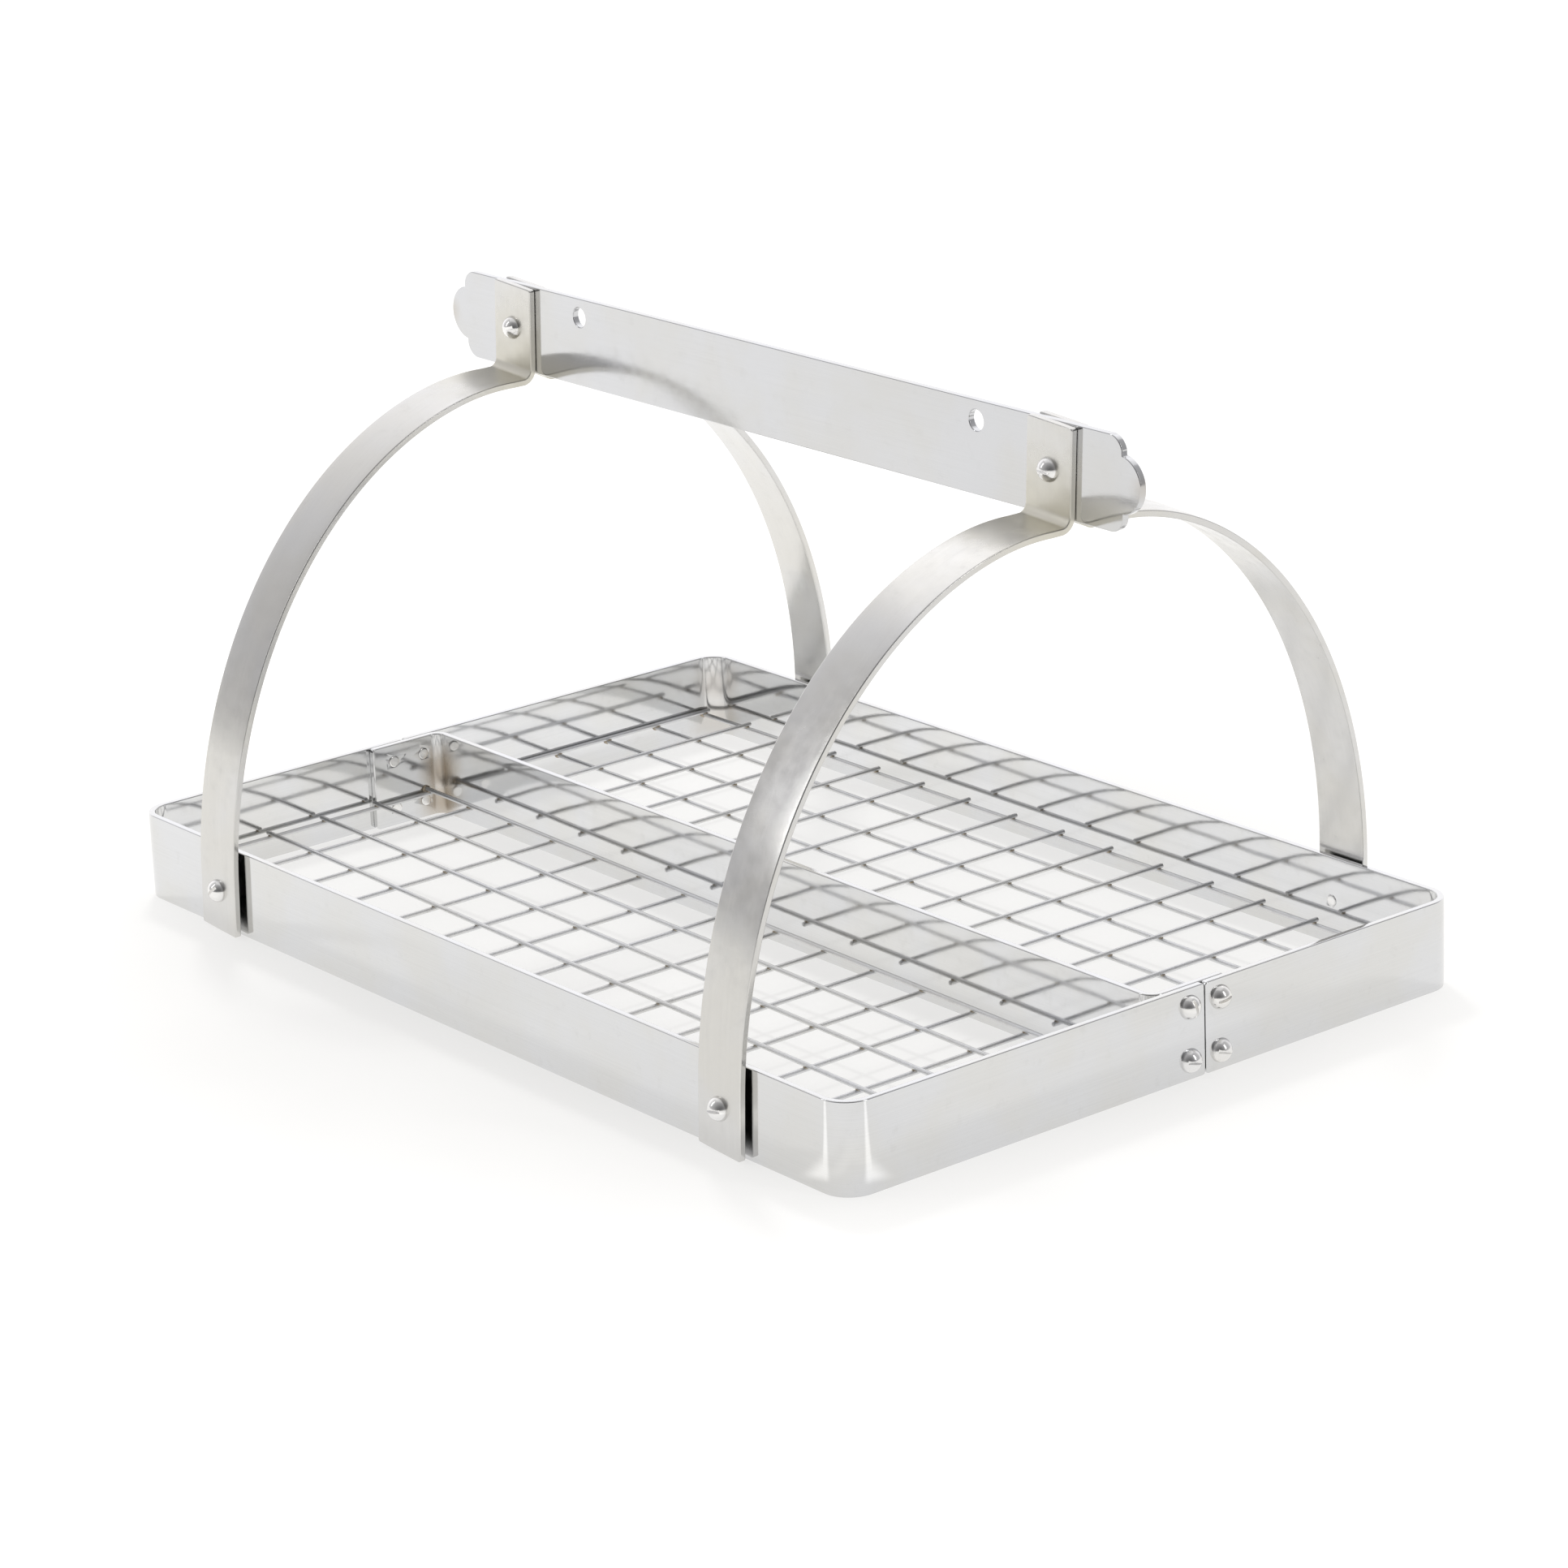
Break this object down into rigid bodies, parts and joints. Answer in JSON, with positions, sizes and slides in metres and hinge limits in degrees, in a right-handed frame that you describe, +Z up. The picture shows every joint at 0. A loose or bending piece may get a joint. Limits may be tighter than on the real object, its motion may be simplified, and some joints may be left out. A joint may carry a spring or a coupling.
{
  "type": "hanging rack",
  "caption": "Hanging rack: divided flat-bar tray with welded wire grids, carried by bowed straps that swing on screws below a flat hanging bar.",
  "frame": {"origin": "centre of the tray's footprint, on the plane of the tray's lower edge", "axes": "+Z up, +X along the tray's long side, -Y towards the front long wall; the straps and the hanging bar swing in the XZ plane, about axes along +Y"},
  "size_m": [0.4884, 0.3376, 0.2568],
  "materials": {
    "tray_plating": "bright nickel-chrome plating over flat bar; outer faces softly brushed, inner faces and rims close to mirror",
    "divider_plating": "bright plating with a faint warm tint at the two bends",
    "wire_plating": "bright drawn wire with a brown tint at each weld",
    "screw_plating": "bright turned and plated, dark in the driver slot",
    "washer_plating": "dull zinc-like plating, mostly hidden",
    "strap_plating": "bright nickel-chrome plating over flat bar; outer faces softly brushed, inner faces and rims close to mirror",
    "bar_plating": "bright plating with fine brushing along the bar and a warm tint on the cut ends"
  },
  "bodies": {
    "frame": {"frame_half_front": "tray_plating", "frame_half_back": "tray_plating", "divider": "divider_plating", "front_long_wires": "wire_plating", "front_cross_wires": "wire_plating", "back_long_wires": "wire_plating", "back_cross_wires": "wire_plating", "splice_screws_left": "screw_plating", "splice_screws_right": "screw_plating", "foot_screws_front": "screw_plating", "foot_screws_back": "screw_plating", "foot_washers_front": "washer_plating", "foot_washers_back": "washer_plating"},
    "left_arch": {"strap_left_front": "strap_plating", "strap_left_back": "strap_plating", "bar_screw_left": "screw_plating", "bar_nut_left": "washer_plating"},
    "right_arch": {"strap_right_front": "strap_plating", "strap_right_back": "strap_plating", "bar_screw_right": "screw_plating", "bar_nut_right": "washer_plating"},
    "bar": {"hanging_bar": "bar_plating"}
  },
  "joints": [
    {"name": "fold", "type": "hinge", "parent": "frame", "child": "left_arch", "pos_m": [-0.1715, 0, 0.019], "axis": [0, 1, 0], "range_deg": [-37.6, 30.4]},
    {"name": "right_arch_fold", "type": "hinge", "parent": "frame", "child": "right_arch", "pos_m": [0.1715, 0, 0.019], "axis": [0, 1, 0], "range_deg": [-37.6, 30.4]},
    {"name": "bar_level", "type": "hinge", "parent": "left_arch", "child": "bar", "pos_m": [-0.15778, 0, 0.23707], "axis": [0, 1, 0], "range_deg": [-30.4, 37.6]}
  ],
  "couplings": [
    {"joint": "right_arch_fold", "follows": "fold", "ratio": 1},
    {"joint": "bar_level", "follows": "fold", "ratio": -1}
  ]
}
